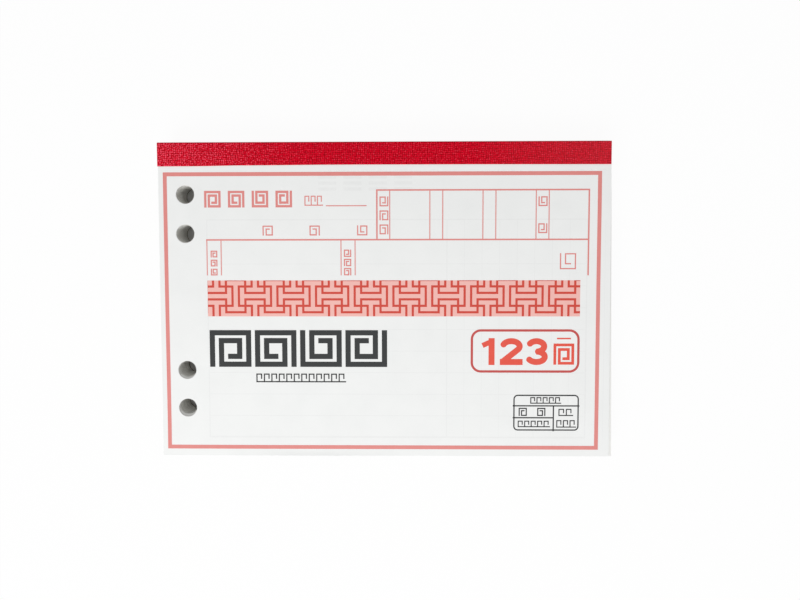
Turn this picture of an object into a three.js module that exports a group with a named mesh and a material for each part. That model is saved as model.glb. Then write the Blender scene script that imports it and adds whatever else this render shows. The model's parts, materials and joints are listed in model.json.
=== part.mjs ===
// A pad of receiving slips, lying face up: a printed cover sheet, 130 loose-cut slips and a chipboard
// back, glued along the top edge and bound there with a strip of red book cloth. Four holes are
// punched through the whole pad near its left edge, so that torn-off slips can be filed.
// Millimetres. +X runs along the bound edge, +Y towards it, +Z up. The origin is the middle of the
// pad's underside.
import * as THREE from "three";

// Sheets
const SHEET_WIDTH = 152;
const SHEET_HEIGHT = 106;
const SLIP_THICKNESS = 0.075;
const SLIP_COUNT = 130;
const AIR_BETWEEN_SHEETS = 0.004;
const COVER_THICKNESS = 0.1;
const BOARD_THICKNESS = 0.6;

// How the slips are told apart: the first ones tear off, the next lie as single sheets,
// and the rest are bundles that are still stuck together as they came off the cutter.
const TEAR_OFF_SLIPS = 3;
const SINGLE_SLIPS = 30;
const SLIPS_IN_BUNDLE = 5;

// Binding
const GLUE_THICKNESS = 0.3;
const TAPE_THICKNESS = 0.2;
const FRONT_FLAP_WIDTH = 8;
const BACK_FLAP_WIDTH = 10;
const TAPE_FOLD_RADIUS = 0.2;

// Punched holes, in a column beside the left edge: two pairs for the same file, one above the other
const HOLE_DIAMETER = 6;
const HOLE_MARGIN = 8.7;
const FILE_POST_SPACING = 60;
const PAIR_OFFSET = 13;
const HOLE_ARC_STEPS = 10;
const FOLD_ARC_STEPS = 4;

// Places that follow from the sizes
const DEPTH = SHEET_HEIGHT + GLUE_THICKNESS + TAPE_THICKNESS;
const LEFT_EDGE = -SHEET_WIDTH / 2;
const RIGHT_EDGE = SHEET_WIDTH / 2;
const FRONT_EDGE = -DEPTH / 2;
const GLUED_EDGE = FRONT_EDGE + SHEET_HEIGHT;
const SPINE = GLUED_EDGE + GLUE_THICKNESS;
const BACK_OF_TAPE = SPINE + TAPE_THICKNESS;
const CREASE = BACK_OF_TAPE - FRONT_FLAP_WIDTH;
const BACK_FLAP_EDGE = BACK_OF_TAPE - BACK_FLAP_WIDTH;

const SLIP_PITCH = SLIP_THICKNESS + AIR_BETWEEN_SHEETS;
const BOARD_LEVEL = TAPE_THICKNESS;
const SLIPS_LEVEL = BOARD_LEVEL + BOARD_THICKNESS + AIR_BETWEEN_SHEETS;
const COVER_LEVEL = SLIPS_LEVEL + SLIP_COUNT * SLIP_PITCH;
const COVER_TOP = COVER_LEVEL + COVER_THICKNESS;

const HOLE_COLUMN = LEFT_EDGE + HOLE_MARGIN;
const SHEET_MIDDLE = FRONT_EDGE + SHEET_HEIGHT / 2;
const HOLE_ROWS = [-PAIR_OFFSET / 2, PAIR_OFFSET / 2].flatMap((pair) => [
  SHEET_MIDDLE + pair - FILE_POST_SPACING / 2,
  SHEET_MIDDLE + pair + FILE_POST_SPACING / 2,
]);

const coverPaper = new THREE.MeshStandardMaterial({ color: 0xeceeed, roughness: 0.75, metalness: 0 });
const slipPaper = new THREE.MeshStandardMaterial({ color: 0xf1f1ee, roughness: 0.8, metalness: 0 });
const chipboard = new THREE.MeshStandardMaterial({ color: 0xa59d90, roughness: 0.9, metalness: 0 });
const paddingGlue = new THREE.MeshStandardMaterial({ color: 0xf3f0e6, roughness: 0.4, metalness: 0 });
const bookCloth = new THREE.MeshStandardMaterial({ color: 0xc21228, roughness: 0.6, metalness: 0 });

const pad = new THREE.Group();

function addPiece(name, geometry, material, level = 0) {
  const piece = new THREE.Mesh(geometry, material);
  piece.name = name;
  piece.position.z = level;
  pad.add(piece);
}

// A sheet cut from the left edge to the right, from one Y to another, with no holes yet.
function sheetOutline(fromY, toY) {
  return new THREE.Shape()
    .moveTo(LEFT_EDGE, fromY)
    .lineTo(RIGHT_EDGE, fromY)
    .lineTo(RIGHT_EDGE, toY)
    .lineTo(LEFT_EDGE, toY)
    .closePath();
}

// A punched sheet or a bundle of them: its holes are those of the whole column.
function punchedSheet(toY, thickness) {
  const outline = sheetOutline(FRONT_EDGE, toY);
  for (const row of HOLE_ROWS) {
    const hole = new THREE.Path();
    hole.absarc(HOLE_COLUMN, row, HOLE_DIAMETER / 2, 0, 2 * Math.PI, true);
    outline.holes.push(hole);
  }
  return new THREE.ExtrudeGeometry(outline, {
    depth: thickness,
    bevelEnabled: false,
    curveSegments: HOLE_ARC_STEPS,
  });
}

// Chipboard back, which keeps the pad flat.
function backBoard() {
  addPiece("back_board", punchedSheet(GLUED_EDGE, BOARD_THICKNESS), chipboard, BOARD_LEVEL);
}

// Slips are counted from the top. A run of them fills the levels of its first to its last slip.
function slipRun(name, first, last) {
  const count = last - first + 1;
  const level = SLIPS_LEVEL + (SLIP_COUNT - last) * SLIP_PITCH;
  addPiece(name, punchedSheet(GLUED_EDGE, count * SLIP_PITCH - AIR_BETWEEN_SHEETS), slipPaper, level);
}

const threeDigits = (number) => String(number).padStart(3, "0");

function slips() {
  for (let slip = 1; slip <= SINGLE_SLIPS; slip++) {
    const kind = slip <= TEAR_OFF_SLIPS ? "tear_off_slip" : "slip";
    slipRun(`${kind}_${threeDigits(slip)}`, slip, slip);
  }
  for (let first = SINGLE_SLIPS + 1; first <= SLIP_COUNT; first += SLIPS_IN_BUNDLE) {
    const last = Math.min(first + SLIPS_IN_BUNDLE - 1, SLIP_COUNT);
    slipRun(`slips_${threeDigits(first)}_to_${threeDigits(last)}`, first, last);
  }
}

// Cover sheet: the part under the tape is stuck down, and the rest turns back at the tape's edge.
function coverSheet() {
  const stuckStrip = new THREE.ExtrudeGeometry(sheetOutline(CREASE, GLUED_EDGE), {
    depth: COVER_THICKNESS,
    bevelEnabled: false,
  });
  addPiece("cover_strip_under_tape", stuckStrip, coverPaper, COVER_LEVEL);
  addPiece("front_cover", punchedSheet(CREASE, COVER_THICKNESS), coverPaper, COVER_LEVEL);
}

// Sweeps a profile drawn in Y and Z along the bound edge, from left to right.
function alongBoundEdge(profile) {
  const swept = new THREE.ExtrudeGeometry(profile, {
    depth: SHEET_WIDTH,
    bevelEnabled: false,
    curveSegments: FOLD_ARC_STEPS,
  });
  const turned = new THREE.Matrix4().makeBasis(
    new THREE.Vector3(0, 1, 0),
    new THREE.Vector3(0, 0, 1),
    new THREE.Vector3(1, 0, 0),
  );
  return swept.applyMatrix4(turned).translate(LEFT_EDGE, 0, 0);
}

// Film of padding glue that holds the edges of the board, the slips and the cover.
function glueFilm() {
  const film = new THREE.Shape()
    .moveTo(GLUED_EDGE, BOARD_LEVEL)
    .lineTo(SPINE, BOARD_LEVEL)
    .lineTo(SPINE, COVER_TOP)
    .lineTo(GLUED_EDGE, COVER_TOP)
    .closePath();
  addPiece("glue_film", alongBoundEdge(film), paddingGlue);
}

// Cloth tape, folded over the spine from the cover to the back board.
function bindingTape() {
  const top = COVER_TOP + TAPE_THICKNESS;
  const bend = TAPE_FOLD_RADIUS;
  const tape = new THREE.Shape()
    .moveTo(BACK_FLAP_EDGE, 0)
    .lineTo(BACK_OF_TAPE - bend, 0)
    .absarc(BACK_OF_TAPE - bend, bend, bend, -Math.PI / 2, 0, false)
    .lineTo(BACK_OF_TAPE, top - bend)
    .absarc(BACK_OF_TAPE - bend, top - bend, bend, 0, Math.PI / 2, false)
    .lineTo(CREASE, top)
    .lineTo(CREASE, COVER_TOP)
    .lineTo(SPINE, COVER_TOP)
    .lineTo(SPINE, BOARD_LEVEL)
    .lineTo(BACK_FLAP_EDGE, BOARD_LEVEL)
    .closePath();
  addPiece("binding_tape", alongBoundEdge(tape), bookCloth);
}

backBoard();
slips();
coverSheet();
glueFilm();
bindingTape();

export default pad;
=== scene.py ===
import json
import math

import bmesh
import bpy
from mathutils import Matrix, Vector
from mathutils.geometry import delaunay_2d_cdt


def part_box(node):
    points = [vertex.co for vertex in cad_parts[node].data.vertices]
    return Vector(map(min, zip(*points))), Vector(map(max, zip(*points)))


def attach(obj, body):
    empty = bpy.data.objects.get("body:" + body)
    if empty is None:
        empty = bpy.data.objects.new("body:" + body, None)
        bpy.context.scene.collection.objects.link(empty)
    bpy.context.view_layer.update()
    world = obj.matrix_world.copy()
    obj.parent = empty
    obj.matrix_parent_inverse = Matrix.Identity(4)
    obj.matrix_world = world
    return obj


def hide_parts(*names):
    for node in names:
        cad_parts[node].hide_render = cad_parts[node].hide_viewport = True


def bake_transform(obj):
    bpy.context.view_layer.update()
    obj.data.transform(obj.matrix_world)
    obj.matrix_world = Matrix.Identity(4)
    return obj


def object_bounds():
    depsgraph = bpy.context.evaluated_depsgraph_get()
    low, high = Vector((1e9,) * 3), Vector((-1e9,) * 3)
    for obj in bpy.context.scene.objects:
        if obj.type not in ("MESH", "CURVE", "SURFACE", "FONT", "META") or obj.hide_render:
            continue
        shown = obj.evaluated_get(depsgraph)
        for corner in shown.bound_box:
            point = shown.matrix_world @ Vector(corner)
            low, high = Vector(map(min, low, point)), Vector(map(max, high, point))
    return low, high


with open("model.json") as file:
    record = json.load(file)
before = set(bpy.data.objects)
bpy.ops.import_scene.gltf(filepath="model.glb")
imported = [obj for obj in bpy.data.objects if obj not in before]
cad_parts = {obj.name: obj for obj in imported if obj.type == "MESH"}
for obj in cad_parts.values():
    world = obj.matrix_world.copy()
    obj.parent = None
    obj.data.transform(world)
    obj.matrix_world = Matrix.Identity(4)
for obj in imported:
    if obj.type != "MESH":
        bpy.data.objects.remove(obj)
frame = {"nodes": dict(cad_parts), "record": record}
cad_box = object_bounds()

# Back board
# Raw grey chipboard, pressed from waste paper. It was cut to size together with the slips, a little
# out of square, so that the pad is widest at its lower right, and the holes were punched through all.
MM = 0.001
SPREAD_RIGHT = 1.55
SPREAD_UP = 0.9
HOLE_RADIUS = 3.1
HOLE_STRAYS = ((0.32, -0.42), (0.17, -0.6), (0.0, 0.0), (0.0, 0.0))
HOLE_SIDES = 48
BOARD_STEP = 20.0
STEP_SLACK = 0.001
SAME_POINT = 0.0005
BOARD_GREY = (150, 143, 131)
BOARD_DARK_FIBRE = (112, 103, 92)
BOARD_PALE_FIBRE = (186, 180, 168)
SPECK_ABOVE, SPECK_SHARE = 0.64, 0.7


def corners(node):
    """The lowest and highest corners of a piece of the frame, in mm."""
    return tuple(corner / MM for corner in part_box(node))


def hole_centres():
    """The punched holes' centres, in mm: where the record has them, and a little astray."""
    for opening, (right, up) in zip(frame["record"]["physics"]["openings"], HOLE_STRAYS):
        low, high = opening["box_m"]
        yield (low[0] + high[0]) / 2 / MM + right, (low[1] + high[1]) / 2 / MM + up


def circle(x, y, radius, sides=HOLE_SIDES):
    turns = [2 * math.pi * i / sides for i in range(sides)]
    return [(x + radius * math.cos(turn), y + radius * math.sin(turn)) for turn in turns]


def rectangle(left, bottom, right, top):
    return [(left, bottom), (right, bottom), (right, top), (left, top)]


def subdivided(outline, step):
    """The outline with points added so that none are more than a step apart, anticlockwise."""
    points = []
    area = 0.0
    for (x0, y0), (x1, y1) in zip(outline, outline[1:] + outline[:1]):
        area += x0 * y1 - x1 * y0
        pieces = max(1, math.ceil(math.hypot(x1 - x0, y1 - y0) / step - STEP_SLACK))
        points += [(x0 + (x1 - x0) * i / pieces, y0 + (y1 - y0) * i / pieces) for i in range(pieces)]
    return points if area > 0 else points[::-1]


def fill(solids, voids, step, guides=()):
    """Triangles over the solid outlines and not over the voids, with points a step apart."""
    points, outlines = list(guides), []
    for outline in [*solids, *voids]:
        walked = subdivided(outline, step)
        outlines.append(list(range(len(points), len(points) + len(walked))))
        points += walked
    low = [min(p[axis] for p in points) for axis in (0, 1)]
    high = [max(p[axis] for p in points) for axis in (0, 1)]
    for column in range(1, int((high[0] - low[0]) / step)):
        for row in range(1, int((high[1] - low[1]) / step)):
            points.append((low[0] + column * step, low[1] + row * step))
    spots, _, faces, _, _, origins = delaunay_2d_cdt(
        [Vector(p) for p in points], [], outlines, 0, SAME_POINT
    )
    triangles = [
        face for face, within in zip(faces, origins) if within and max(within) < len(solids)
    ]
    used = sorted({corner for face in triangles for corner in face})
    places = {old: new for new, old in enumerate(used)}
    return (
        [tuple(spots[corner]) for corner in used],
        [tuple(places[corner] for corner in face) for face in triangles],
    )


def slab(name, region, underside, thickness):
    """A closed piece over a flat region. underside gives its lower height in mm at a place."""
    points, triangles = region
    count = len(points)
    places = [(x * MM, y * MM, underside(x, y) * MM) for x, y in points]
    places += [(x, y, z + thickness * MM) for x, y, z in places]
    edges = {(a, b) for t in triangles for a, b in zip(t, t[1:] + t[:1])}
    faces = [t[::-1] for t in triangles]
    faces += [tuple(corner + count for corner in t) for t in triangles]
    faces += [(a, b, b + count, a + count) for a, b in sorted(edges) if (b, a) not in edges]
    mesh = bpy.data.meshes.new(name)
    mesh.from_pydata(places, [], faces)
    return shown(name, mesh)


def in_scene(name, data):
    """A new object in the scene."""
    made = bpy.data.objects.new(name, data)
    bpy.context.scene.collection.objects.link(made)
    return made


def shown(name, mesh, sharpest_smooth_turn=math.radians(30)):
    """An object for the mesh: smooth, apart from its real corners."""
    form = bmesh.new()
    form.from_mesh(mesh)
    for face in form.faces:
        face.smooth = True
    for edge in form.edges:
        edge.smooth = edge.calc_face_angle(0) < sharpest_smooth_turn
    form.to_mesh(mesh)
    form.free()
    return in_scene(name, mesh)


class Value:
    """A socket in a node tree: sums and comparisons on it add Math nodes."""

    def __init__(self, nodes, socket):
        self.nodes = nodes
        self.socket = socket

    def math(self, operation, *others, swapped=False):
        terms = [*others, self] if swapped else [self, *others]
        return self.nodes.node("ShaderNodeMath", {"operation": operation}, dict(enumerate(terms)))

    def part(self, axis):
        """X, Y or Z of a vector."""
        return self.nodes.node("ShaderNodeSeparateXYZ", None, {0: self}, output=axis)

    def __add__(self, other):
        return self.math("ADD", other)

    def __sub__(self, other):
        return self.math("SUBTRACT", other)

    def __mul__(self, other):
        return self.math("MULTIPLY", other)

    def __truediv__(self, other):
        return self.math("DIVIDE", other)

    def __rsub__(self, other):
        return self.math("SUBTRACT", other, swapped=True)

    __radd__ = __add__
    __rmul__ = __mul__

    def above(self, other):
        return self.math("GREATER_THAN", other)

    def below(self, other):
        return self.math("LESS_THAN", other)

    def between(self, low, high):
        return self.above(low) * self.below(high)

    def near(self, place, half_width):
        return (self - place).math("ABSOLUTE").below(half_width)

    def near_every(self, pitch, start, half_width):
        """True at lines that repeat with a pitch."""
        return (((self - start) / pitch + 0.5).math("FRACT") - 0.5).math("ABSOLUTE").below(
            half_width / pitch
        )

    def either(self, other):
        return self.math("MAXIMUM", other)

    def held(self):
        """The value, kept between 0 and 1."""
        return self.either(0.0).math("MINIMUM", 1.0)

    def swing(self, by, middle=0.5):
        """How far the value lies from a middle one, times a factor."""
        return (self - middle) * by


class Nodes:
    """A node tree being made. node() adds a node: its settings first, then its sockets."""

    def __init__(self, tree):
        self.tree = tree

    def node(self, kind, settings=None, sockets=None, output=0):
        made = self.tree.nodes.new(kind)
        for name, setting in (settings or {}).items():
            setattr(made, name, setting)
        for name, value in (sockets or {}).items():
            self.feed(self.socket(made.inputs, name), value)
        return Value(self, self.socket(made.outputs, output))

    @staticmethod
    def socket(sockets, name):
        """The socket with that number, identifier or name."""
        if isinstance(name, int):
            return sockets[name]
        return next((s for s in sockets if s.identifier == name), None) or sockets[name]

    def feed(self, socket, value):
        if isinstance(value, Value):
            self.tree.links.new(value.socket, socket)
        else:
            socket.default_value = value


class Finish(Nodes):
    """A material being made."""

    def __init__(self, name):
        self.material = bpy.data.materials.new(name)
        self.material.use_nodes = True
        super().__init__(self.material.node_tree)
        self.shader = self.tree.nodes["Principled BSDF"]

    def place(self, axis):
        """A coordinate of the piece, in mm."""
        return self.node("ShaderNodeTexCoord", output="Object").part(axis) / MM

    def noise(self, per_mm, detail, stretch=(1, 1, 1), seed=0.0, over=None):
        """Noise from 0 to 1 with so many grains per mm, drawn out along an axis by its stretch."""
        over = over or self.node("ShaderNodeTexCoord", output="Object")
        scale = [1 / (MM * length) for length in stretch]
        placed = self.node(
            "ShaderNodeMapping", None, {"Vector": over, "Scale": scale, "Location": (seed, seed, seed)}
        )
        return self.node(
            "ShaderNodeTexNoise", None, {"Vector": placed, "Scale": per_mm, "Detail": detail}
        )

    def blend(self, share, base, other):
        """A colour that goes from base to other as share goes from 0 to 1."""
        base, other = (c if isinstance(c, Value) else paint(*c) for c in (base, other))
        return self.node(
            "ShaderNodeMix",
            {"data_type": "RGBA"},
            {"Factor_Float": share, "A_Color": base, "B_Color": other},
            output="Result_Color",
        )

    def colour(self, value):
        self.feed(self.shader.inputs["Base Color"], value)

    def roughness(self, share, least, more):
        """The least roughness, and so much more where share is 1."""
        self.feed(self.shader.inputs["Roughness"], least + more * share)

    def bump(self, height, millimetres):
        """Raises the surface by so many mm where height is 1."""
        raised = self.node(
            "ShaderNodeBump", None, {"Distance": millimetres * MM, "Strength": 1.0, "Height": height}
        )
        self.feed(self.shader.inputs["Normal"], raised)


def paint(red, green, blue):
    """The light that Blender reckons with for a screen's colour from 0 to 255, by the sRGB curve."""

    def light(level):
        level /= 255
        return level / 12.92 if level <= 0.04045 else ((level + 0.055) / 1.055) ** 2.4

    return light(red), light(green), light(blue), 1.0


def chipboard():
    finish = Finish("grey_chipboard")
    cloud = finish.noise(per_mm=0.25, detail=4.0)
    fibre = finish.noise(per_mm=2.2, detail=3.0, stretch=(2.6, 1, 1))
    speck = finish.noise(per_mm=3.5, detail=1.0, stretch=(1, 1.8, 1), seed=7.0)
    grey = finish.blend(cloud.swing(by=1.6, middle=0.4), BOARD_GREY, BOARD_PALE_FIBRE)
    grey = finish.blend(fibre.swing(by=3.0, middle=0.52), grey, BOARD_PALE_FIBRE)
    finish.colour(finish.blend(speck.above(SPECK_ABOVE) * SPECK_SHARE, grey, BOARD_DARK_FIBRE))
    finish.roughness(fibre, least=0.84, more=0.12)
    finish.bump(fibre + speck / 2, millimetres=0.03)
    return finish.material


def out_of_square(x, y):
    """Where a point of the board goes, because it was cut with the lowest slips."""
    loose = (board_high.y - y) / (board_high.y - board_low.y)
    right = (x - board_low.x) / (board_high.x - board_low.x)
    return x + SPREAD_RIGHT * loose * right, y + SPREAD_UP * loose * (1 - right)


board_low, board_high = corners("back_board")
punched_outlines = [circle(x, y, HOLE_RADIUS) for x, y in hole_centres()]
board_outline = rectangle(board_low.x, board_low.y, board_high.x, board_high.y)
points, triangles = fill([board_outline], punched_outlines, BOARD_STEP)
board = slab(
    "chipboard_back",
    ([out_of_square(x, y) for x, y in points], triangles),
    lambda x, y: board_low.z,
    board_high.z - board_low.z,
)
board.data.materials.append(chipboard())
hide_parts("back_board")
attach(board, "pad")

# Slips
# 130 sheets of thin woodfree paper, held only by the glue along the bound edge, so they don't lie
# quite edge to edge at the loose end, and the first few fan out to where the rest of the pad was
# cut. Each slip is printed with the same ruled form on its front.
SLIP_THICKNESS = 0.075
SLIP_PITCH = 0.079
SLIP_STEP = 9.0
SPREAD_RIGHT_DEPTH, SPREAD_UP_DEPTH = 0.4, 1.0
SHEET_JITTER = 0.05
TAPE_FLAP_EDGE = corners("front_cover")[1].y
RISE_DISTANCE = 14.0
PAPER_RISE = 0.085
PAPER_WAVES = ((0.045, 17, 31), (0.035, -43, 11))
SLIP_WHITE = (244, 244, 241)
SLIP_SHADE = (226, 226, 221)
# The cut edges' two greys are painted shade: darker than the paper's face, as between the sheets and in
# the holes.
CUT_EDGE_PALE_SHADED = (235, 234, 229)
CUT_EDGE_DARK_SHADED = (205, 204, 199)
SHEET_TONE, TORN_TONE = 0.6, 0.4
SALMON = (219, 132, 127)
FORM_LEFT, FORM_RIGHT = -60.0, 68.5
FORM_TOP, FORM_BODY, FORM_ROW, FORM_ROWS = 27.3, 12.4, 7.4, 8
AMOUNT_LEFT, AMOUNT_COLUMN = 21.3, 5.9
HALF_ROW_RULE, HALF_COLUMN_RULE, HALF_SIDE_RULE, HALF_FOOT_RULE = 0.12, 0.09, 0.2, 0.3
FORM_TITLE = (-22.0, 36.5, 12.0, 42.5)
FORM_GROUP, FORM_GROUP_INKED = 8.5, 0.72
FORM_BAR_PITCH, FORM_BAR_LEVEL, HALF_FORM_BAR = 2.0, 37.5, 0.55
FORM_INK_LEAST, FORM_INK_MORE = 0.8, 0.2
FACES_UP = 0.5


def eased(share):
    share = min(1.0, max(0.0, share))
    return share * share * (3 - 2 * share)


def paper_rise(x, y):
    """How far the top sheet has risen off a flat pile, in mm: nothing at the tape, gentle waves below."""
    waves = sum(height * math.sin(x / right + y / up) for height, right, up in PAPER_WAVES)
    return eased((TAPE_FLAP_EDGE - y) / RISE_DISTANCE) * (PAPER_RISE + waves)


def slip_sheet(low, high):
    """One flat slip, with what each point needs to find its place in a leaning, wavy pile."""
    outline = rectangle(low.x, low.y, high.x, high.y)
    sheet = slab("slip", fill([outline], punched_outlines, SLIP_STEP), lambda x, y: 0.0, SLIP_THICKNESS)
    measures = {
        "rise": paper_rise,
        "loose": lambda x, y: (high.y - y) / (high.y - low.y),
        "left": lambda x, y: (high.x - x) / (high.x - low.x),
        "right": lambda x, y: (x - low.x) / (high.x - low.x),
    }
    for name, measure in measures.items():
        values = [measure(v.co.x / MM, v.co.y / MM) for v in sheet.data.vertices]
        sheet.data.attributes.new(name, "FLOAT", "POINT").data.foreach_set("value", values)
    return sheet


class Tree(Nodes):
    """A Geometry Nodes tree being made. Its sockets are given as lists of names, by kind."""

    def __init__(self, name, sockets):
        super().__init__(bpy.data.node_groups.new(name, "GeometryNodeTree"))
        self.names = {}
        add = self.tree.interface.new_socket
        for kind, asked in sockets.items():
            for socket in asked:
                made = add(socket, in_out="INPUT", socket_type="NodeSocket" + kind)
                self.names[socket] = made.identifier
        add("Geometry", in_out="OUTPUT", socket_type="NodeSocketGeometry")
        self.asked = self.tree.nodes.new("NodeGroupInput")

    def ask(self, name):
        return Value(self, self.asked.outputs[name])

    def attribute(self, name, kind="FLOAT"):
        return self.node("GeometryNodeInputNamedAttribute", {"data_type": kind}, {"Name": name})

    def end(self, geometry):
        self.feed(self.tree.nodes.new("NodeGroupOutput").inputs[0], geometry)

    def grown(self, name, values):
        """The plain mesh that the tree makes from these values, as an object."""
        seed = in_scene(name + "_seed", bpy.data.meshes.new(name + "_seed"))
        modifier = seed.modifiers.new("grow", "NODES")
        modifier.node_group = self.tree
        for socket, value in values.items():
            modifier[self.names[socket]] = value
        depsgraph = bpy.context.evaluated_depsgraph_get()
        mesh = bpy.data.meshes.new_from_object(seed.evaluated_get(depsgraph))
        mesh.name = name
        bpy.data.objects.remove(seed)
        return in_scene(name, mesh)


def pile_tree():
    """Lays sheets one on the other, each a little out of line, and lets the pile lean and wave."""
    tree = Tree("pile_of_slips", {
        "Object": ["Sheet"],
        "Int": ["Sheets", "Seed"],
        "Float": [
            "Lowest", "Pitch", "Pile bottom", "Pile top", "Spread right", "Spread up",
            "Spread right depth", "Spread up depth", "Jitter",
        ],
        "Material": ["Paper", "Printed paper", "Cut edges"],
    })
    start = tree.node("ShaderNodeCombineXYZ", None, {"Z": tree.ask("Lowest")})
    step = tree.node("ShaderNodeCombineXYZ", None, {"Z": tree.ask("Pitch")})
    levels = tree.node("GeometryNodeMeshLine", None, {
        "Count": tree.ask("Sheets"), "Start Location": start, "Offset": step,
    })
    sheet = tree.node("GeometryNodeObjectInfo", None, {"Object": tree.ask("Sheet")}, output="Geometry")
    laid = tree.node("GeometryNodeInstanceOnPoints", None, {"Points": levels, "Instance": sheet})
    counted = tree.node(
        "GeometryNodeStoreNamedAttribute",
        {"data_type": "INT", "domain": "INSTANCE"},
        {"Geometry": laid, "Name": "sheet", "Value": tree.node("GeometryNodeInputIndex")},
    )
    real = tree.node("GeometryNodeRealizeInstances", None, {"Geometry": counted})
    number = tree.attribute("sheet", "INT")
    height = tree.node("GeometryNodeInputPosition").part("Z")
    share = tree.node("ShaderNodeMapRange", None, {
        "Value": height, "From Min": tree.ask("Pile bottom"), "From Max": tree.ask("Pile top"),
    })
    strays = tree.node(
        "FunctionNodeRandomValue",
        {"data_type": "FLOAT_VECTOR"},
        {"Min": (-1, -1, -1), "Max": (1, 1, 1), "ID": number, "Seed": tree.ask("Seed")},
    )
    moves = {}
    for axis, amount, side in (("X", "Spread right", "right"), ("Y", "Spread up", "left")):
        full = tree.ask("Pile top") - tree.ask(amount + " depth")
        spread = tree.node("ShaderNodeMapRange", {"interpolation_type": "SMOOTHSTEP"}, {
            "Value": height,
            "From Min": tree.ask("Pile top"),
            "From Max": full,
            "To Max": tree.ask(amount),
        })
        drift = spread * tree.attribute(side)
        stray = strays.part(axis) * tree.ask("Jitter")
        moves[axis] = tree.attribute("loose") * (drift + stray)
    moves["Z"] = tree.attribute("rise") * MM * share
    offset = tree.node("ShaderNodeCombineXYZ", None, moves)
    leaning = tree.node("GeometryNodeSetPosition", None, {"Geometry": real, "Offset": offset})
    tone = tree.node("FunctionNodeRandomValue", {"data_type": "FLOAT"}, {
        "ID": number, "Seed": tree.ask("Seed"),
    }, output=1)
    toned = tree.node(
        "GeometryNodeStoreNamedAttribute",
        {"data_type": "FLOAT", "domain": "POINT"},
        {"Geometry": leaning, "Name": "tone", "Value": tone},
    )
    upwards = tree.node("GeometryNodeInputNormal").part("Z")
    plain = tree.node("GeometryNodeSetMaterial", None, {"Geometry": toned, "Material": tree.ask("Paper")})
    printed = tree.node("GeometryNodeSetMaterial", None, {
        "Geometry": plain,
        "Selection": upwards.above(FACES_UP),
        "Material": tree.ask("Printed paper"),
    })
    # Upright faces get the cut-edge paper, whose greys are painted shade between the sheets.
    tree.end(tree.node("GeometryNodeSetMaterial", None, {
        "Geometry": printed,
        "Selection": upwards.math("ABSOLUTE").below(FACES_UP),
        "Material": tree.ask("Cut edges"),
    }))
    return tree


def ruled_form(finish):
    """1 on the lines of the slips' form: a barred title, rows, and narrow columns for an amount."""
    x, y = finish.place("X"), finish.place("Y")
    bottom = FORM_BODY - FORM_ROW * FORM_ROWS
    across = x.between(FORM_LEFT, FORM_RIGHT)
    body = y.between(bottom, FORM_TOP)
    rows = y.near_every(FORM_ROW, FORM_BODY, HALF_ROW_RULE)
    rows *= y.between(bottom - HALF_FOOT_RULE, FORM_BODY + HALF_FOOT_RULE)
    rows = rows.either(y.near(FORM_TOP, HALF_SIDE_RULE)).either(y.near(bottom, HALF_FOOT_RULE))
    columns = x.near_every(AMOUNT_COLUMN, AMOUNT_LEFT, HALF_COLUMN_RULE)
    columns *= x.above(AMOUNT_LEFT - HALF_FOOT_RULE)
    for rule in (AMOUNT_LEFT, FORM_LEFT + HALF_SIDE_RULE, FORM_RIGHT - HALF_SIDE_RULE):
        columns = columns.either(x.near(rule, HALF_SIDE_RULE))
    left, foot, right, top = FORM_TITLE
    title = x.between(left, right) * y.between(foot, top)
    groups = ((x - left) / FORM_GROUP).math("FRACT").below(FORM_GROUP_INKED)
    bars = groups * y.near_every(FORM_BAR_PITCH, FORM_BAR_LEVEL, HALF_FORM_BAR)
    return (rows * across).either(columns * body).either(title * bars)


def slip_paper(name, printed):
    finish = Finish(name)
    pulp = finish.noise(per_mm=0.35, detail=3.0)
    fibre = finish.noise(per_mm=5.0, detail=2.0, stretch=(2.2, 1, 1))
    paper = finish.blend(pulp.swing(by=0.25) + fibre.swing(by=0.2), SLIP_WHITE, SLIP_SHADE)
    if printed:
        inked = ruled_form(finish) * (FORM_INK_LEAST + FORM_INK_MORE * fibre)
        paper = finish.blend(inked, paper, SALMON)
    finish.colour(paper)
    finish.roughness(fibre, least=0.76, more=0.1)
    finish.bump(fibre, millimetres=0.004)
    return finish.material


def shaded_cut_edges():
    """The guillotined and punched edges, painted greyer than the sheets' faces as shade between the
    sheets and down the holes; each sheet is a little paler or darker than the next.
    """
    finish = Finish("cut_paper_edges")
    tone = finish.node("ShaderNodeAttribute", {"attribute_name": "tone"}, output="Fac")
    torn = finish.noise(per_mm=1.5, detail=3.0)
    finish.colour(finish.blend(SHEET_TONE * tone + TORN_TONE * torn, CUT_EDGE_PALE_SHADED, CUT_EDGE_DARK_SHADED))
    finish.roughness(torn, least=0.85, more=0.1)
    finish.bump(torn, millimetres=0.02)
    return finish.material


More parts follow.
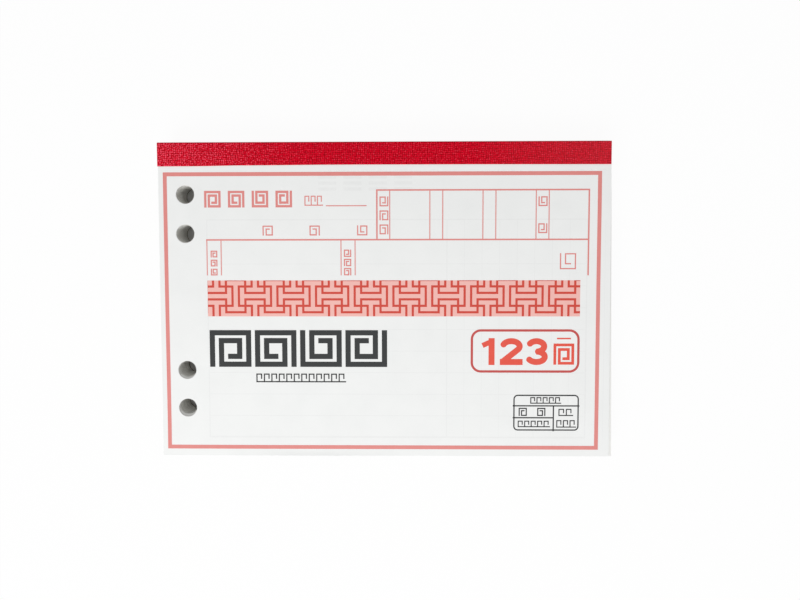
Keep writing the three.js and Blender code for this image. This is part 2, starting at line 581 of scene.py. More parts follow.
slip_nodes = sorted(n for n in frame["nodes"] if "slip" in n and "cover" not in n)
pile_bottom = min(corners(node)[0].z for node in slip_nodes)
pile_top = max(corners(node)[1].z for node in slip_nodes)
slip = slip_sheet(*corners(slip_nodes[0]))
pile = pile_tree()
plain_slip, printed_slip = slip_paper("slip_paper", False), slip_paper("printed_slip_paper", True)
shaded_slip_edges = shaded_cut_edges()
body_of = {n: body for body, nodes in frame["record"]["behaviour"]["bodies"].items() for n in nodes}
for number, node in enumerate(slip_nodes):
    low, high = corners(node)
    sheets = pile.grown(node + "_paper", {
        "Sheet": slip,
        "Sheets": max(1, round((high.z - low.z) / SLIP_PITCH)),
        "Lowest": low.z * MM,
        "Pitch": SLIP_PITCH * MM,
        "Pile bottom": pile_bottom * MM,
        "Pile top": pile_top * MM,
        "Spread right": SPREAD_RIGHT * MM,
        "Spread up": SPREAD_UP * MM,
        "Spread right depth": SPREAD_RIGHT_DEPTH * MM,
        "Spread up depth": SPREAD_UP_DEPTH * MM,
        "Jitter": SHEET_JITTER * MM,
        "Seed": number,
        "Paper": plain_slip,
        "Printed paper": printed_slip,
        "Cut edges": shaded_slip_edges,
    })
    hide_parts(node)
    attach(sheets, body_of[node])
bpy.data.objects.remove(slip)

# Padding glue
# White padding glue, brushed on the jogged edges of the slips, the board and the cover and left
# to dry to a thin rubbery film, which shows only at the ends of the spine.
GLUE_CREAM = (236, 231, 216)
GLUE_SHADE = (214, 206, 186)


def padding_glue():
    finish = Finish("padding_glue")
    streak = finish.noise(per_mm=1.2, detail=3.0, stretch=(3, 1, 1))
    finish.colour(finish.blend(streak, GLUE_CREAM, GLUE_SHADE))
    finish.roughness(streak, least=0.3, more=0.3)
    finish.bump(streak, millimetres=0.04)
    return finish.material


glue = frame["nodes"]["glue_film"]
glue.data.materials.clear()
glue.data.materials.append(padding_glue())

# Front cover
# One sheet of thin white paper. Its upper edge is stuck down under the tape, and below the tape
# it is free and rises a little off the slips in places. Its points lie close together along the
# tape's edge, where the real cover folds back. The form of the first slip shows faintly through it.
COVER_STEP = 3.5
FOLD_WIDTH = 1.6
FOLD_ROWS = 12
CURL_HEIGHT = 0.22
CURL_REACH = 26.0
CURL_FROM, CURL_OVER = 60.0, 100.0
LIP_HEIGHT, LIP_REACH, LIP_MIDDLE, LIP_SPAN = 0.2, 2.2, -22.0, 36.0
LIP_ROWS = (0.5, 1.0, 1.6, 2.3)
OUT_OF_SQUARE = 0.65
COVER_WHITE = (241, 242, 241)
COVER_SHADE = (226, 228, 227)
SHOW_THROUGH = (222, 222, 222)
THROUGH_LEAST, THROUGH_MORE = 0.1, 0.25
cover_low, cover_high = corners("front_cover")
strip_high = corners("cover_strip_under_tape")[1]


def cover_underside(x, y):
    """The cover's lower face: it follows the pile, curls up at the lower left and has a bent lip."""
    from_edge = min(1.0, (y - cover_low.y) / CURL_REACH)
    towards_left = eased((CURL_FROM - x) / CURL_OVER)
    curl = CURL_HEIGHT * towards_left * (1 - from_edge) ** 2
    from_lip = min(1.0, (y - cover_low.y) / LIP_REACH)
    lip = LIP_HEIGHT * eased(1 - abs(x - LIP_MIDDLE) / LIP_SPAN) * (1 - from_lip) ** 2
    return cover_low.z + paper_rise(x, y) + curl + lip


def cover_paper():
    finish = Finish("cover_paper")
    pulp = finish.noise(per_mm=0.12, detail=3.0)
    fibre = finish.noise(per_mm=4.0, detail=3.0, stretch=(2.4, 1, 1))
    shade = pulp.swing(by=0.5, middle=0.35) + fibre.swing(by=0.25)
    blur = finish.noise(per_mm=0.9, detail=1.0, seed=3.0)
    through = ruled_form(finish) * (THROUGH_LEAST + THROUGH_MORE * blur)
    finish.colour(finish.blend(through, finish.blend(shade, COVER_WHITE, COVER_SHADE), SHOW_THROUGH))
    finish.roughness(fibre, least=0.7, more=0.1)
    finish.bump(fibre, millimetres=0.004)
    return finish.material


fold_levels = [cover_high.y - FOLD_WIDTH * i / FOLD_ROWS for i in range(FOLD_ROWS + 1)]
column_count = int((cover_high.x - cover_low.x) / COVER_STEP)
fold_columns = [cover_low.x + COVER_STEP * i for i in range(1, column_count)]
rows = fold_levels + [cover_low.y + row for row in LIP_ROWS]
cover_outline = (
    [(cover_low.x, cover_low.y), (cover_high.x + OUT_OF_SQUARE, cover_low.y)]
    + [(cover_high.x, y) for y in fold_levels[::-1]]
    + [(cover_high.x, strip_high.y), (cover_low.x, strip_high.y)]
    + [(cover_low.x, y) for y in fold_levels]
)
cover = slab(
    "printed_cover",
    fill([cover_outline], punched_outlines, COVER_STEP, [(x, y) for x in fold_columns for y in rows]),
    cover_underside,
    cover_high.z - cover_low.z,
)
cover.data.materials.append(cover_paper())
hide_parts("front_cover", "cover_strip_under_tape")
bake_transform(cover)

# Printing on the cover
# Offset print in salmon, red and near black: a thick frame, the upper part of the slips' form, a
# band of interlocking key fret, rows of wound squares and a badge with a plain number.
INK_THICKNESS = 0.012
INK_SUNK = 0.003
INK_STEP = 2.5
REGISTER_RIGHT, REGISTER_UP = 0.15, -0.16
THIN_INK = 24
INK_FIBRE, INK_CLOUD, INK_COVER = 0.45, 0.3, 0.15


def ink(name, colour):
    """Printing ink: a flat colour that lets the paper's fibres through a little."""
    finish = Finish(name)
    fibre = finish.noise(per_mm=5.0, detail=2.0)
    cloud = finish.noise(per_mm=0.5, detail=2.0, seed=5.0)
    thin = tuple(min(255, level + THIN_INK) for level in colour)
    finish.colour(finish.blend(fibre * INK_FIBRE + cloud * INK_CLOUD - INK_COVER, colour, thin))
    finish.roughness(fibre, least=0.55, more=0.15)
    finish.bump(fibre, millimetres=0.003)
    return finish.material


def print_on_cover(name, material, solids, voids=(), layer=0):
    """Ink that lies on the cover and follows its waves. A higher layer lies over a lower one."""
    level = cover_high.z - cover_low.z - INK_SUNK + layer * INK_THICKNESS
    points, triangles = fill(solids, voids, INK_STEP)
    printed = slab(
        name,
        ([(x + REGISTER_RIGHT, y + REGISTER_UP) for x, y in points], triangles),
        lambda x, y: cover_underside(x, y) + level,
        INK_SUNK + INK_THICKNESS,
    )
    printed.data.materials.append(material)
    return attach(printed, "cover")


def line(x0, y0, x1, y1, width):
    """A printed line along X or Y, with square ends that reach half its width further."""
    half = width / 2
    return rectangle(min(x0, x1) - half, min(y0, y1) - half, max(x0, x1) + half, max(y0, y1) + half)


salmon_ink = ink("salmon_ink", SALMON)

# Frame and form
# A thick salmon frame near the sheet's edge and, inside it, the thin rules of the form's heading:
# the row of stamp boxes, the date's line and the boxes for a code and a name.
FRAME = (-73.9, -50.15, 72.1, 42.76)
FRAME_LINE = 1.32
OUTER_RULE, INNER_RULE = 0.52, 0.34
HEADING_LEFT, HEADING_RIGHT, HEADING_LEVEL, HEADING_FOOT = -60.0, 68.6, 20.72, 8.9
STAMPS_LEFT, STAMPS_TOP, STAMP_LABEL, STAMP_CELL, STAMP_CELLS = -2.4, 37.3, 4.32, 13.47, 4
CODE_RULES = (-55.2, -14.55, -9.8)
NUMBER_RULE = (-19.4, 32.1, -6.0, 32.1)


def widened(box, by):
    """The box with each of its sides moved outwards."""
    left, bottom, right, top = box
    return left - by, bottom - by, right + by, top + by


print_on_cover(
    "frame_print",
    salmon_ink,
    [rectangle(*widened(FRAME, FRAME_LINE / 2))],
    [rectangle(*widened(FRAME, -FRAME_LINE / 2))],
)
stamp_rules = [STAMPS_LEFT]
for _ in range(STAMP_CELLS):
    stamp_rules.append(stamp_rules[-1] + STAMP_LABEL)
    stamp_rules.append(stamp_rules[-1] + STAMP_CELL)
form_rules = [line(x, HEADING_LEVEL, x, STAMPS_TOP, INNER_RULE) for x in stamp_rules[1:-1]]
form_rules += [line(x, HEADING_FOOT, x, HEADING_LEVEL, INNER_RULE) for x in CODE_RULES]
form_rules += [
    line(STAMPS_LEFT, HEADING_LEVEL, STAMPS_LEFT, STAMPS_TOP, OUTER_RULE),
    line(HEADING_LEFT, HEADING_FOOT, HEADING_LEFT, HEADING_LEVEL, INNER_RULE),
    line(HEADING_RIGHT, HEADING_FOOT, HEADING_RIGHT, STAMPS_TOP, OUTER_RULE),
    line(STAMPS_LEFT, STAMPS_TOP, HEADING_RIGHT, STAMPS_TOP, OUTER_RULE),
    line(HEADING_LEFT, HEADING_LEVEL, HEADING_RIGHT, HEADING_LEVEL, OUTER_RULE),
    line(*NUMBER_RULE, INNER_RULE),
]
print_on_cover("form_rules_print", salmon_ink, form_rules)

# Key fret band
# A band of pale red ground with red lines over it: upright I shapes, every other one dropped by
# half a repeat, whose outlines also draw the lying ones between them.
BAND_LEFT, BAND_RIGHT, BAND_BOTTOM, BAND_TOP = -60.0, 66.05, -5.2, 7.0
FRET_UNIT = 2.187
FRET_LEFT, FRET_TOP = -58.12, 4.95
FRET_LINE = 0.76
FRET_RED = (203, 62, 46)
FRET_GROUND = (240, 181, 173)
FRET_START, FRET_REACH, FRET_ROWS = (0.5, 1.5), 3, 3
FRET_LEAST = 0.05
I_OUTLINE = [
    (-1.5, -2.5), (1.5, -2.5), (1.5, -1.5), (0.5, -1.5), (0.5, 1.5), (1.5, 1.5),
    (1.5, 2.5), (-1.5, 2.5), (-1.5, 1.5), (-0.5, 1.5), (-0.5, -1.5), (-1.5, -1.5),
]


def fret_lines():
    """The outlines of the upright I shapes as lines, cut off at the band's edges."""
    columns = int((BAND_RIGHT - BAND_LEFT) / FRET_UNIT / FRET_REACH) + 2
    seen = set()
    for column in range(-1, columns):
        for row in range(-1, FRET_ROWS):
            if (column + row) % 2 == 0:
                continue
            middle = (FRET_START[0] + FRET_REACH * column, FRET_START[1] + FRET_REACH * row)
            places = [
                (FRET_LEFT + FRET_UNIT * (middle[0] + dx), FRET_TOP - FRET_UNIT * (middle[1] + dy))
                for dx, dy in I_OUTLINE
            ]
            for (x0, y0), (x1, y1) in zip(places, places[1:] + places[:1]):
                (left, bottom), _, (right, top), _ = line(x0, y0, x1, y1, FRET_LINE)
                left, right = max(left, BAND_LEFT), min(right, BAND_RIGHT)
                bottom, top = max(bottom, BAND_BOTTOM), min(top, BAND_TOP)
                key = tuple(round(value, 3) for value in (left, bottom, right, top))
                if min(right - left, top - bottom) > FRET_LEAST and key not in seen:
                    seen.add(key)
                    yield rectangle(left, bottom, right, top)


print_on_cover(
    "fret_ground_print",
    ink("pale_red_ink", FRET_GROUND),
    [rectangle(BAND_LEFT, BAND_BOTTOM, BAND_RIGHT, BAND_TOP)],
)
print_on_cover("fret_lines_print", ink("red_ink", FRET_RED), list(fret_lines()), layer=1)

# Title squares
# Squares that wind inwards, a common fret ornament, printed in rows: four large dark ones below the
# band, four salmon ones above the form, small thin ones in its boxes, and rows of square hooks.
DARK, THIN_DARK = (34, 37, 38), (18, 20, 22)
LONG_WINDING, SHORT_WINDING = 8, 6
ROW_OF_SQUARES, WAYS_TURNED = 4, 4
TITLE_LEFT, TITLE_BOTTOM, TITLE_WIDTH, TITLE_HEIGHT, TITLE_PITCH = -59.6, -22.5, 14.2, 12.6, 15.45
TITLE_STROKE = 1.8
HEADING_SQUARE, HEADING_SQUARE_PITCH, HEADING_SQUARE_STROKE = 5.6, 8.05, 0.8
HEADING_SQUARES_AT = (-60.7, 31.6)
LABEL_STROKE, HOOK_STROKE = 0.42, 0.36
HOOK_WIDTH, HOOK_OPENING = 0.62, 0.45
LABEL_HOOKS = (-26.6, 32.3, 3.0, HOOK_STROKE, 3, 2.1)
TITLE_HOOKS = (-43.6, -27.6, 2.6, LABEL_STROKE, 12, 2.56)
LABEL_SQUARES = [
    *((x, 22.15, 3.5, 3.35) for x in (-41.06, -25.16, -9.1)),
    *((-1.53, y, 3.0, 3.3) for y in (31.85, 27.2, 22.5)),
    *((51.7, y, 3.05, 3.3) for y in (31.8, 22.8)),
    *((-58.8, y, 2.3, 2.3) for y in (14.8, 11.75, 8.7)),
    *((-13.6, y, 2.5, 2.5) for y in (14.9, 11.8, 8.7)),
    (59.1, 10.7, 5.4, 5.4),
]


def wound_square(left, bottom, width, height, stroke, sides, turned=0):
    """Strokes of a square that winds inwards: 1 mirrors it left to right, 2 upside down, 3 both."""
    reach_x, reach_y = (width - stroke) / 2, (height - stroke) / 2
    gap_x, gap_y = 4 * reach_x / sides, 4 * reach_y / sides
    flip_x, flip_y = 1 - 2 * (turned % 2), 1 - 2 * (turned // 2)
    path = [(-reach_x, -reach_y)]
    for turn in range(math.ceil(sides / 4)):
        in_x, in_y = reach_x - gap_x * turn, reach_y - gap_y * turn
        path += [(-in_x, in_y), (in_x, in_y), (in_x, -in_y), (gap_x - in_x, -in_y)]
    middle_x, middle_y = left + width / 2, bottom + height / 2
    placed = [(middle_x + flip_x * x, middle_y + flip_y * y) for x, y in path[:sides + 1]]
    return [line(*a, *b, stroke) for a, b in zip(placed, placed[1:])]


def hooks(left, bottom, height, stroke, count, pitch):
    """Strokes of a running key: a row of square hooks on a line."""
    drawn = [line(left, bottom, left + count * pitch - stroke, bottom, stroke)]
    for hook in range(count):
        x = left + hook * pitch
        end, top, opening = x + HOOK_WIDTH * pitch, bottom + height, bottom + HOOK_OPENING * height
        path = [(x, bottom), (x, top), (end, top), (end, opening)]
        drawn += [line(*a, *b, stroke) for a, b in zip(path, path[1:])]
    return drawn


dark_ink, thin_dark_ink = ink("dark_ink", DARK), ink("thin_dark_ink", THIN_DARK)
title, heading_squares, labels = [], [], []
for place in range(ROW_OF_SQUARES):
    title += wound_square(
        TITLE_LEFT + place * TITLE_PITCH, TITLE_BOTTOM, TITLE_WIDTH, TITLE_HEIGHT,
        TITLE_STROKE, LONG_WINDING, place,
    )
    heading_squares += wound_square(
        HEADING_SQUARES_AT[0] + place * HEADING_SQUARE_PITCH, HEADING_SQUARES_AT[1],
        HEADING_SQUARE, HEADING_SQUARE, HEADING_SQUARE_STROKE, LONG_WINDING, place,
    )
for place, square in enumerate(LABEL_SQUARES):
    labels += wound_square(*square, LABEL_STROKE, SHORT_WINDING, place % WAYS_TURNED)
labels += hooks(*LABEL_HOOKS)
print_on_cover("title_squares_print", dark_ink, title)
print_on_cover("heading_squares_print", salmon_ink, heading_squares)
print_on_cover("label_squares_print", salmon_ink, labels)
print_on_cover("title_key_print", thin_dark_ink, hooks(*TITLE_HOOKS))

# Count badge
# A red frame with round corners, printed right of the title. It holds a plain number, one wound
# square and a short bar above the square.
BADGE_RED = (192, 72, 68)
NUMBER_RED = (225, 78, 60)
BADGE = (29.3, -24.35, 66.1, -9.57)
BADGE_RADIUS, BADGE_LINE = 3.4, 0.8
DIGIT_STROKE = 2.05
DIGIT_BOTTOM, DIGIT_HEIGHT = -21.74, 9.16
DIGITS = {"1": (33.3, 4.1), "2": (39.2, 7.7), "3": (47.7, 7.7)}
ONE_FLAG_START, ONE_FLAG_DROP, ONE_FLAG_STROKE = 0.1, 1.5, 0.85
TWO_BOW, TWO_TAIL_LIFT = (170, -35), 0.2
THREE_UPPER_BOW, THREE_LOWER_BOW, THREE_UPPER_REACH = (160, -90), (90, -160), 0.92
BADGE_SQUARE = (57.3, -21.6, 7.0, 7.2, 0.95)
BADGE_BAR = (58.7, -12.7, 62.9, -12.7, 0.5)
BOW_STEP, CORNER_STEP, BEND_SIDES = 12, 10, 24


def arc(x, y, reach_x, reach_y, start, end, step=BOW_STEP):
    """Points on an ellipse from one angle to another, in degrees."""
    steps = math.ceil(abs(end - start) / step)
    turns = [math.radians(start + (end - start) * i / steps) for i in range(steps + 1)]
    return [(x + reach_x * math.cos(turn), y + reach_y * math.sin(turn)) for turn in turns]


def rounded(left, bottom, right, top, radius):
    """A rectangle with round corners."""
    centres = [
        (right - radius, top - radius), (left + radius, top - radius),
        (left + radius, bottom + radius), (right - radius, bottom + radius),
    ]
    return [
        point
        for quarter, (x, y) in enumerate(centres)
        for point in arc(x, y, radius, radius, 90 * quarter, 90 * quarter + 90, CORNER_STEP)
    ]


def brushed(path, width):
    """A stroke of even width along a path, round at its bends."""
    strokes = []
    for (x0, y0), (x1, y1) in zip(path, path[1:]):
        length = math.hypot(x1 - x0, y1 - y0)
        across = (-(y1 - y0) / length * width / 2, (x1 - x0) / length * width / 2)
        strokes.append([
            (x0 - across[0], y0 - across[1]), (x1 - across[0], y1 - across[1]),
            (x1 + across[0], y1 + across[1]), (x0 + across[0], y0 + across[1]),
        ])
    return strokes + [circle(x, y, width / 2, BEND_SIDES) for x, y in path[1:-1]]


def digit(which, left, width):
    """The strokes of a 1, 2 or 3, between the digits' bottom and top."""
    half = DIGIT_STROKE / 2
    x0, x1 = left + half, left + width - half
    y0, y1 = DIGIT_BOTTOM + half, DIGIT_BOTTOM + DIGIT_HEIGHT - half
    middle, reach, bowl = (x0 + x1) / 2, (x1 - x0) / 2, (y1 - y0) / 4
    if which == "1":
        flag = [(x1, y1 - ONE_FLAG_START), (x0 - half, y1 - ONE_FLAG_DROP)]
        stem = [(x1, y0 - half), (x1, y1 + half)]
        return brushed(stem, DIGIT_STROKE) + brushed(flag, DIGIT_STROKE * ONE_FLAG_STROKE)
    if which == "2":
        bow = arc(middle, y1 - bowl, reach, bowl, *TWO_BOW)
        foot = line(x0, y0, x1, y0, DIGIT_STROKE)
        return brushed([*bow, (x0, y0 + TWO_TAIL_LIFT)], DIGIT_STROKE) + [foot]
    upper = arc(middle, y1 - bowl, reach * THREE_UPPER_REACH, bowl, *THREE_UPPER_BOW)
    lower = arc(middle, y0 + bowl, reach, bowl, *THREE_LOWER_BOW)
    return brushed(upper, DIGIT_STROKE) + brushed(lower, DIGIT_STROKE)


print_on_cover(
    "badge_frame_print",
    ink("badge_red_ink", BADGE_RED),
    [rounded(*BADGE, BADGE_RADIUS)],
    [rounded(*widened(BADGE, -BADGE_LINE), BADGE_RADIUS - BADGE_LINE)],
)
number_strokes = [stroke for which, place in DIGITS.items() for stroke in digit(which, *place)]
number_strokes += wound_square(*BADGE_SQUARE, LONG_WINDING)
number_strokes.append(line(*BADGE_BAR))
print_on_cover("plain_number_print", ink("number_red_ink", NUMBER_RED), number_strokes)

# Number table
# A thin dark box with round corners, printed below the badge and ruled into cells that hold small
# key ornaments.
TABLE = (43.9, -44.25, 66.1, -31.9)
TABLE_RADIUS, TABLE_RULE = 1.5, 0.44
TABLE_COLUMN, TABLE_ROWS = 57.5, (-35.72, -39.82)
TABLE_SQUARES = ((45.7, -39.2, 2.8, 2.8, 0.4), (52.0, -39.2, 2.8, 2.8, 0.4))
TABLE_HOOKS = (
    (49.8, -34.8, 1.9, HOOK_STROKE, 5, 2.1),
    (45.6, -42.9, 1.9, HOOK_STROKE, 5, 2.2),
    (59.4, -39.0, 2.1, HOOK_STROKE, 2, 2.5),
    (58.7, -43.0, 2.2, HOOK_STROKE, 3, 2.25),
)
table_left, table_bottom, table_right, _ = TABLE
print_on_cover(
    "table_frame_print",
    thin_dark_ink,
    [rounded(*TABLE, TABLE_RADIUS)],
    [rounded(*widened(TABLE, -TABLE_RULE), TABLE_RADIUS - TABLE_RULE)],
)
table_strokes = [
    line(table_left, TABLE_ROWS[0], table_right, TABLE_ROWS[0], TABLE_RULE),
    line(table_left, TABLE_ROWS[1], TABLE_COLUMN, TABLE_ROWS[1], TABLE_RULE),
    line(TABLE_COLUMN, table_bottom, TABLE_COLUMN, TABLE_ROWS[0], TABLE_RULE),
]
for row in TABLE_HOOKS:
    table_strokes += hooks(*row)
for place, square in enumerate(TABLE_SQUARES):
    table_strokes += wound_square(*square, SHORT_WINDING, place)
print_on_cover("table_print", thin_dark_ink, table_strokes)

# Binding tape
# Red book cloth, a fine plain weave filled with starch and backed with glue. It is folded from
# the cover over the spine to the board, rubbed down warm, and cut flush with the pad's ends.
TAPE_BEND = 0.45
TAPE_BEND_STEPS = 6
TAPE_FLAT_STEP = 1.0
TAPE_COLUMN_STEP = 2.0
TAPE_LEFT_OVERHANG, TAPE_RIGHT_OVERHANG = 0.15, -0.1
FLAP_EDGE_WANDER = ((-76, 0.0), (-64, 0.03), (-48, 0.24), (-14, 0.40), (20, 0.38), (76, 0.27))
CLOTH_RED = (215, 0, 34)
# The dark red is painted shade for the dips between the threads.
CLOTH_DIP_SHADE = (126, 0, 2)
# The fleck colour is a painted glint on the thread crowns, together with pale worn flecks.
CLOTH_FLECK_GLINT = (255, 84, 108)
# The dull colour is a painted sheen on a partly rubbed surface.
CLOTH_DULL_SHEEN = (196, 66, 74)
THREAD_PITCH = 0.7
THREAD_WANDER = 1.4
THREAD_LEVEL, THREAD_DIVE = 0.55, 0.45
SLUBS_PER_MM, SLUB_LENGTH, SLUB_WIDTH = 1.7, 7, 0.6
DIP_SHADE_START, DIP_SHADE_CROWN, DIP_SHADE_THREAD = 1.0, 1.7, 2.0
DIP_SHADE_GRAIN, DIP_SHADE_GRAIN_RUBBED = 3.2, 0.8
DIP_SHADE_SHARE, DULL_SHEEN_SHARE = 0.72, 0.5
FLECK_GLINT_RUBBED, FLECK_GLINT_ABOVE, FLECK_GLINT_STEEPNESS = 0.05, 0.52, 9.0
FLECK_GLINT_SHARE, FLECK_GLINT_SHARE_RUBBED = 0.55, 1.4
SLUB_RELIEF = 0.3
RUBBED_GLINT_FROM, RUBBED_GLINT_OVER = -26.0, 50.0
DULL_SHEEN_FROM, DULL_SHEEN_OVER = 30.0, 46.0
CLOTH_SHINE = 0.05


def tape_path(low, high, front_edge):
    """The tape's outer face, from front flap to back flap, as Y and Z and the way out."""
    inner, upper, lower = high.y - TAPE_BEND, high.z - TAPE_BEND, low.z + TAPE_BEND

    def steps(length):
        return max(1, round(length / TAPE_FLAT_STEP))

    def bend(middle, up):
        """A quarter turn at the spine's upper edge (up is 1) or its lower edge (up is -1)."""
        quarter = [math.pi / 2 * (1 - i / TAPE_BEND_STEPS) for i in range(TAPE_BEND_STEPS + 1)]
        for turn in quarter[::up]:
            out_y, out_z = math.cos(turn), up * math.sin(turn)
            yield inner + TAPE_BEND * out_y, middle + TAPE_BEND * out_z, out_y, out_z

    front, spine, back = inner - front_edge, upper - lower, inner - low.y
    return [
        *((front_edge + front * i / steps(front), high.z, 0.0, 1.0) for i in range(steps(front))),
        *bend(upper, 1),
        *((high.y, upper - spine * i / steps(spine), 1.0, 0.0) for i in range(1, steps(spine))),
        *bend(lower, -1),
        *((inner - back * i / steps(back), low.z, 0.0, -1.0) for i in range(1, steps(back) + 1)),
    ]


def flap_narrowing(x):
    """How far the front flap's edge lies back from its widest place, which is at its left end."""
    for (x0, back0), (x1, back1) in zip(FLAP_EDGE_WANDER, FLAP_EDGE_WANDER[1:]):
        if x <= x1:
            return back0 + (back1 - back0) * eased((x - x0) / (x1 - x0))
    return FLAP_EDGE_WANDER[-1][1]


def folded_tape(low, high, front_edge, thickness):
    """The tape as a closed sheet, with a UV map that lies flat as the cloth did before it was folded."""
    path = tape_path(low, high, front_edge)
    along = [0.0]
    for (y0, z0, *_), (y1, z1, *_) in zip(path, path[1:]):
        along.append(along[-1] + math.hypot(y1 - y0, z1 - z0))
    columns = round((high.x - low.x) / TAPE_COLUMN_STEP)
    left, right = low.x - TAPE_LEFT_OVERHANG, high.x + TAPE_RIGHT_OVERHANG
    form = bmesh.new()
    flat_place = form.verts.layers.float_vector.new("flat")
    sheets = []
    for depth in (0.0, thickness):
        sheet = []
        for i in range(columns + 1):
            x = left + (right - left) * i / columns
            sheet.append([])
            for (y, z, out_y, out_z), length in zip(path, along):
                narrowed = flap_narrowing(x) * max(0.0, 1 - length / (high.y - TAPE_BEND - front_edge))
                place = Vector((x, y + narrowed - out_y * depth, z - out_z * depth))
                corner = form.verts.new(place * MM)
                corner[flat_place] = (x * MM, length * MM, 0)
                sheet[-1].append(corner)
        sheets.append(sheet)
    outer, inner = sheets
    last = len(path) - 1
    for i in range(columns):
        for j in range(last):
            form.faces.new((outer[i][j], outer[i + 1][j], outer[i + 1][j + 1], outer[i][j + 1]))
            form.faces.new((inner[i][j + 1], inner[i + 1][j + 1], inner[i + 1][j], inner[i][j]))
        form.faces.new((inner[i][0], inner[i + 1][0], outer[i + 1][0], outer[i][0]))
        form.faces.new((outer[i][last], outer[i + 1][last], inner[i + 1][last], inner[i][last]))
    for j in range(last):
        form.faces.new((inner[0][j], outer[0][j], outer[0][j + 1], inner[0][j + 1]))
        form.faces.new((outer[-1][j], inner[-1][j], inner[-1][j + 1], outer[-1][j + 1]))
    bmesh.ops.recalc_face_normals(form, faces=form.faces)
    flat = form.loops.layers.uv.new("flat")
    for face in form.faces:
        for loop in face.loops:
            loop[flat].uv = loop.vert[flat_place].xy
    mesh = bpy.data.meshes.new("book_cloth_tape")
    form.to_mesh(mesh)
    form.free()
    return shown("book_cloth_tape", mesh)


def book_cloth():
    """Plain weave: threads that pass over each other by turns, with slubs, painted shade in the dips
    between crossings, painted glints with worn flecks on rubbed crowns, and a painted sheen towards the
    right end.
    """
    finish = Finish("red_book_cloth")
    finish.shader.inputs["Specular IOR Level"].default_value = CLOTH_SHINE
    flat = finish.node("ShaderNodeUVMap", {"uv_map": "flat"})
    u, v = flat.part("X") / MM, flat.part("Y") / MM
    wander = finish.noise(per_mm=0.25, detail=2.0, over=flat).swing(by=THREAD_WANDER)
    across_u = ((u + wander) * (math.pi / THREAD_PITCH)).math("SINE")
    across_v = ((v + wander) * (math.pi / THREAD_PITCH)).math("SINE")
    over = across_u * across_v
    warp = across_v.math("ABSOLUTE") * (THREAD_LEVEL + THREAD_DIVE * over)
    weft = across_u.math("ABSOLUTE") * (THREAD_LEVEL - THREAD_DIVE * over)
    crown = over.math("ABSOLUTE")
    slubs_u, slubs_v = (
        finish.noise(SLUBS_PER_MM, detail=1.0, stretch=stretch, over=flat)
        for stretch in ((SLUB_LENGTH, SLUB_WIDTH, 1), (SLUB_WIDTH, SLUB_LENGTH, 1))
    )
    thread = (slubs_u + slubs_v) / 2
    rubbed_glinting = ((RUBBED_GLINT_FROM - u) / RUBBED_GLINT_OVER).held()
    dull_sheen = ((u - DULL_SHEEN_FROM) / DULL_SHEEN_OVER).held()
    grain = finish.noise(per_mm=1.25, detail=2.0, over=flat)
    # Painted shade: darker red in the dips between thread crossings, varied by grain and slubs.
    dip_shade = DIP_SHADE_START - DIP_SHADE_CROWN * crown - grain.swing(by=DIP_SHADE_GRAIN + DIP_SHADE_GRAIN_RUBBED * rubbed_glinting)
    dip_shade = (dip_shade - thread.swing(by=DIP_SHADE_THREAD)).held()
    red = finish.blend(dip_shade * DIP_SHADE_SHARE, CLOTH_RED, CLOTH_DIP_SHADE)
    # Painted sheen with partly rubbed dullness: a paler, greyer red towards the right end, along the
    # slubs.
    red = finish.blend(dull_sheen * (DULL_SHEEN_SHARE * thread), red, CLOTH_DULL_SHEEN)
    # Painted glints on the thread crowns, with pale worn flecks, many more at the rubbed left end.
    bright = finish.noise(per_mm=2.0, detail=1.0, over=flat) + FLECK_GLINT_RUBBED * rubbed_glinting
    fleck_glint = bright.swing(by=FLECK_GLINT_STEEPNESS, middle=FLECK_GLINT_ABOVE).held() * crown
    fleck_glint *= FLECK_GLINT_SHARE + FLECK_GLINT_SHARE_RUBBED * rubbed_glinting
    finish.colour(finish.blend(fleck_glint, red, CLOTH_FLECK_GLINT))
    finish.roughness(thread, least=0.6, more=0.2)
    finish.bump(warp.either(weft) + SLUB_RELIEF * thread, millimetres=0.05)
    return finish.material


tape_low, tape_high = corners("binding_tape")
tape = folded_tape(tape_low, tape_high, cover_high.y, tape_high.z - cover_high.z)
tape.data.materials.append(book_cloth())
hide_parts("binding_tape")
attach(tape, "pad")

# Camera
# It stands where the photograph was taken from: almost straight above, a little right of the
# middle and behind it, and close enough that the holes' far walls show.
CAMERA_PLACE = (8.9, 12.1, 227.5)
CAMERA_TILT = (-3.15, 0.90, -0.06)
CAMERA_LENS, CAMERA_SENSOR = 28.8, 36.0
CAMERA_NEAREST = 10.0
camera = in_scene("camera", bpy.data.cameras.new("camera"))
camera.data.lens = CAMERA_LENS
camera.data.sensor_width = CAMERA_SENSOR
camera.data.clip_start = CAMERA_NEAREST * MM
camera.location = Vector(CAMERA_PLACE) * MM
camera.rotation_euler = [math.radians(angle) for angle in CAMERA_TILT]
bpy.context.scene.camera = camera

# Floor and light
# A white table and a large soft lamp at the lower left, with an even white surround. The table
# shows the pad's shadow beside the pad and is nearly white further out.
FLOOR_SIZE = 6000.0
FLOOR_DROP = 0.05
FLOOR_WHITE = (236, 236, 236)
FLOOR_ROUGHNESS = 0.9
FLOOR_GLOW = 0.95
WHITE_LIGHT = (1.0, 1.0, 1.0, 1.0)
SHADOW_REACH = 2.4
SURROUND = 0.47
LAMP_PLACE = (-180, -550, 620)
LAMP_SIZE = 600.0
LAMP_POWER = 5.5


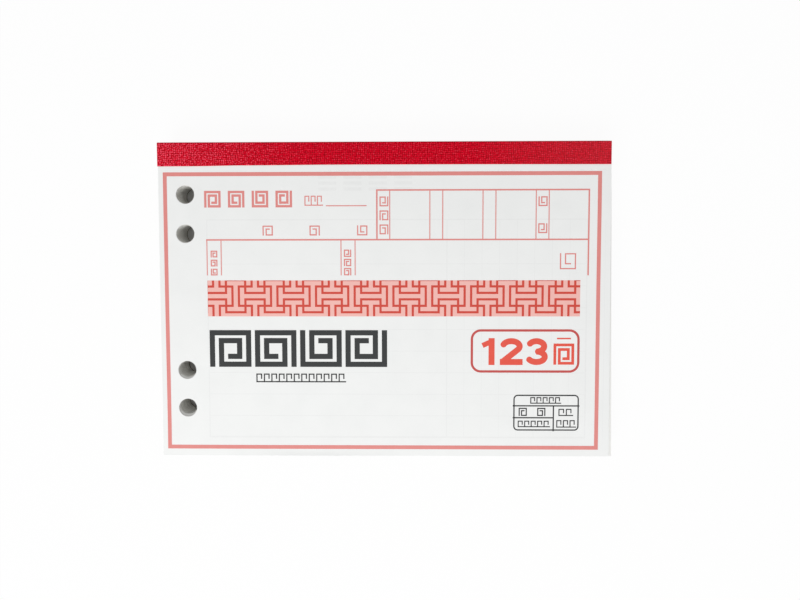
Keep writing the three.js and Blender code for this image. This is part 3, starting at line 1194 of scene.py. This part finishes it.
def white_table():
    """The floor: the camera sees it most of the way to white, but close to the pad as it is lit."""
    finish = Finish("white_table")
    finish.colour(paint(*FLOOR_WHITE))
    finish.shader.inputs["Roughness"].default_value = FLOOR_ROUGHNESS
    low, high = (corner / MM for corner in cad_box)
    x, y = finish.place("X"), finish.place("Y")
    outside = (low.x - x).either(x - high.x).either(low.y - y).either(y - high.y)
    lit = (outside / SHADOW_REACH).held()
    seen = [
        finish.node("ShaderNodeLightPath", output=ray)
        for ray in ("Is Camera Ray", "Is Glossy Ray", "Is Transmission Ray")
    ]
    glow = finish.node("ShaderNodeEmission", None, {"Color": WHITE_LIGHT, "Strength": 1.0})
    shader = Value(finish, finish.shader.outputs[0])
    share = lit * seen[0].either(seen[1]).either(seen[2]) * FLOOR_GLOW
    mixed = finish.node("ShaderNodeMixShader", None, {"Fac": share, 1: shader, 2: glow})
    finish.feed(finish.tree.nodes["Material Output"].inputs["Surface"], mixed)
    return finish.material


floor_form = bmesh.new()
bmesh.ops.create_grid(floor_form, x_segments=1, y_segments=1, size=FLOOR_SIZE * MM / 2)
floor_mesh = bpy.data.meshes.new("floor")
floor_form.to_mesh(floor_mesh)
floor_form.free()
floor_mesh.materials.append(white_table())
floor = in_scene("floor", floor_mesh)
floor.location.z = -FLOOR_DROP * MM

lamp = in_scene("soft_lamp", bpy.data.lights.new("soft_lamp", "AREA"))
lamp.data.shape = "DISK"
lamp.data.size = LAMP_SIZE * MM
lamp.data.energy = LAMP_POWER
lamp.location = Vector(LAMP_PLACE) * MM
lamp.rotation_euler = (-Vector(LAMP_PLACE)).to_track_quat("-Z", "Y").to_euler()

world = bpy.data.worlds.new("studio")
world.use_nodes = True
surround = world.node_tree.nodes["Background"]
surround.inputs["Color"].default_value = WHITE_LIGHT
seen = world.node_tree.nodes.new("ShaderNodeLightPath")
strength = world.node_tree.nodes.new("ShaderNodeMapRange")
strength.inputs["To Min"].default_value = SURROUND
strength.inputs["To Max"].default_value = 1.0
world.node_tree.links.new(seen.outputs["Is Camera Ray"], strength.inputs["Value"])
world.node_tree.links.new(strength.outputs["Result"], surround.inputs["Strength"])
bpy.context.scene.world = world
bpy.context.scene.view_settings.view_transform = "Standard"
